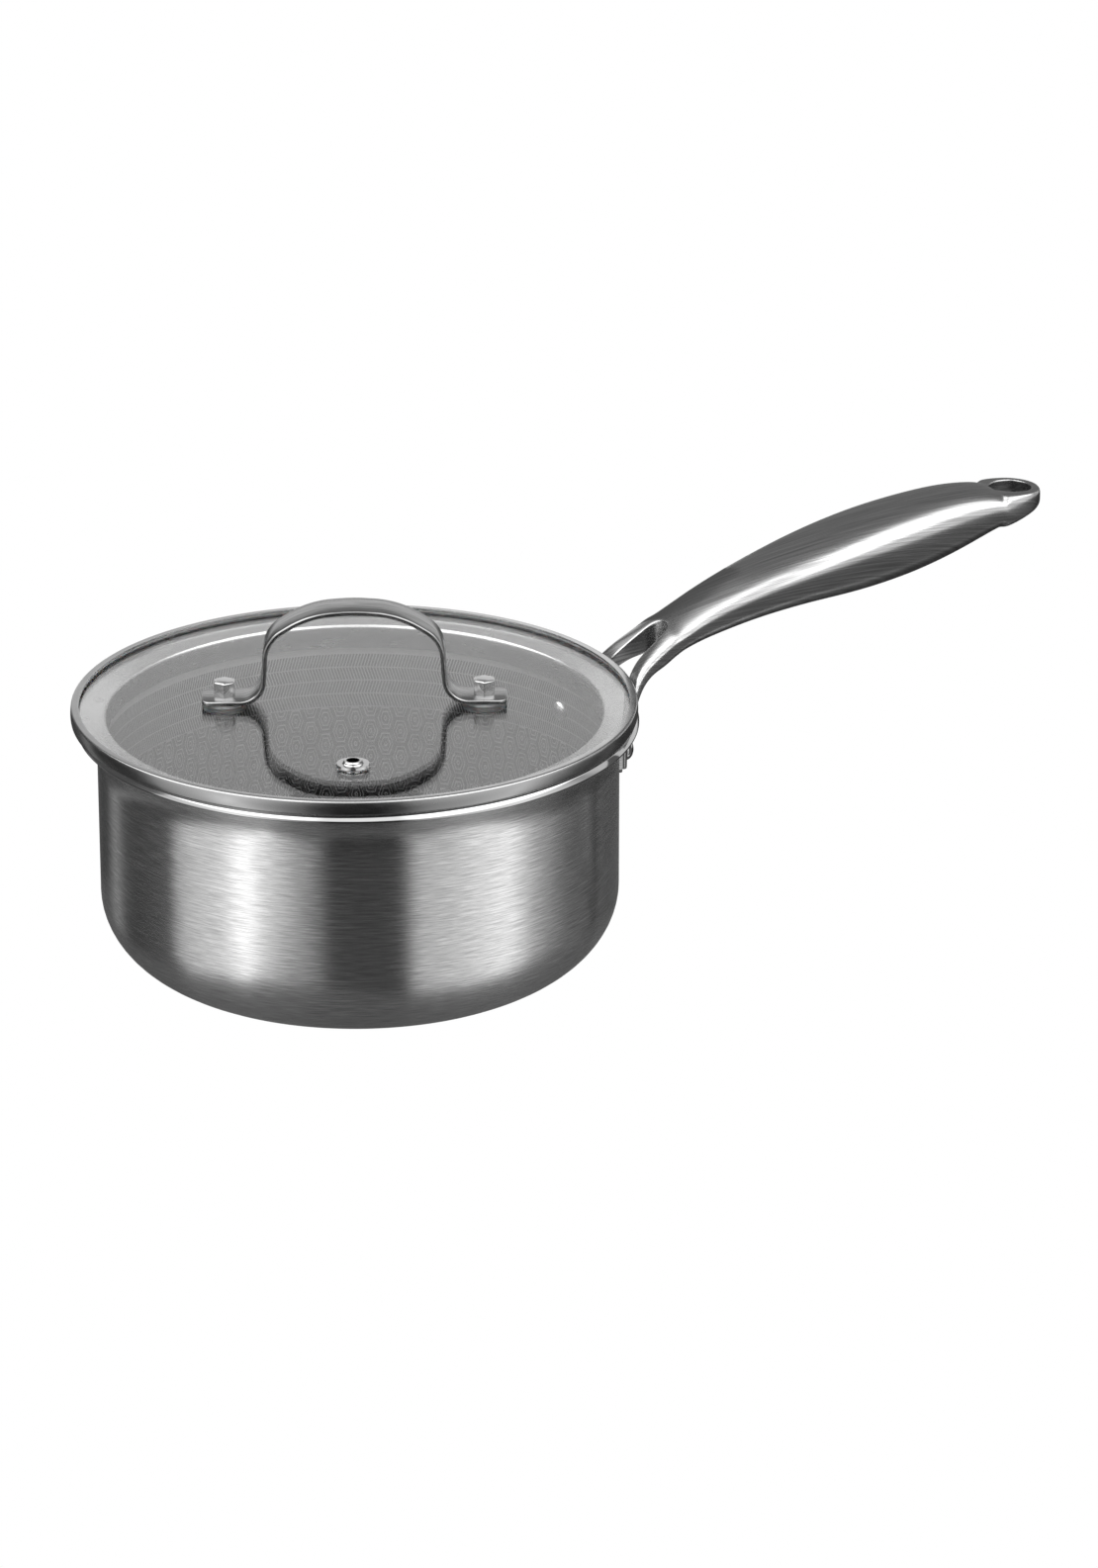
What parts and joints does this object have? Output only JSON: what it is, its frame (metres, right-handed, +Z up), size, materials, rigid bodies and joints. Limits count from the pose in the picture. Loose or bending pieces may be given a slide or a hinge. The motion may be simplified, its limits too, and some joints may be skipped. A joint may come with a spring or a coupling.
{
  "type": "saucepan with lid",
  "caption": "Deep drawn three-ply steel saucepan with a flared rim, a forked hollow handle riveted to its wall, and a lift-off flat glass lid in a steel band with a strap handle and steam vent.",
  "frame": {"origin": "centre of the flat base, on the surface the pan stands on", "axes": "+Z up through the pan's axis, +X along the handle towards its hanging eye, +Y to the left of the handle seen from the pan"},
  "size_m": [0.3642, 0.1954, 0.1399],
  "materials": {
    "brushed_wall": "stainless steel, brushed round the wall",
    "core_metal": "bare aluminium between the two steel sheets",
    "relief_wall": "stainless steel with a fine honeycomb and herringbone relief",
    "brushed_handle": "stainless steel, brushed lengthwise",
    "polished_steel": "mirror polished stainless steel",
    "lid_glass": "clear tempered glass",
    "seal_rubber": "translucent grey silicone"
  },
  "bodies": {
    "pan": {"pan_outer_ply": "brushed_wall", "pan_core_ply": "core_metal", "pan_inner_ply": "relief_wall", "mounting_plate": "brushed_handle", "handle_fork": "brushed_handle", "grip_upper_shell": "brushed_handle", "grip_lower_shell": "brushed_handle", "hanging_eye": "brushed_handle", "rivet_left": "polished_steel", "rivet_right": "polished_steel"},
    "lid": {"glass_disc": "lid_glass", "rim_band": "polished_steel", "edge_gasket": "seal_rubber", "strap_handle": "polished_steel", "cap_nut_left": "polished_steel", "cap_nut_right": "polished_steel", "lid_screw_left": "polished_steel", "lid_screw_right": "polished_steel", "top_gasket_left": "seal_rubber", "top_gasket_right": "seal_rubber", "bottom_gasket_left": "seal_rubber", "bottom_gasket_right": "seal_rubber", "washer_left": "polished_steel", "washer_right": "polished_steel", "vent_eyelet": "polished_steel", "vent_back_ring": "polished_steel", "vent_gasket": "seal_rubber"}
  },
  "joints": [
    {"name": "lid_lift", "type": "slide", "parent": "pan", "child": "lid", "axis": [0, 0, 1], "range_m": [0, 0.15]}
  ]
}
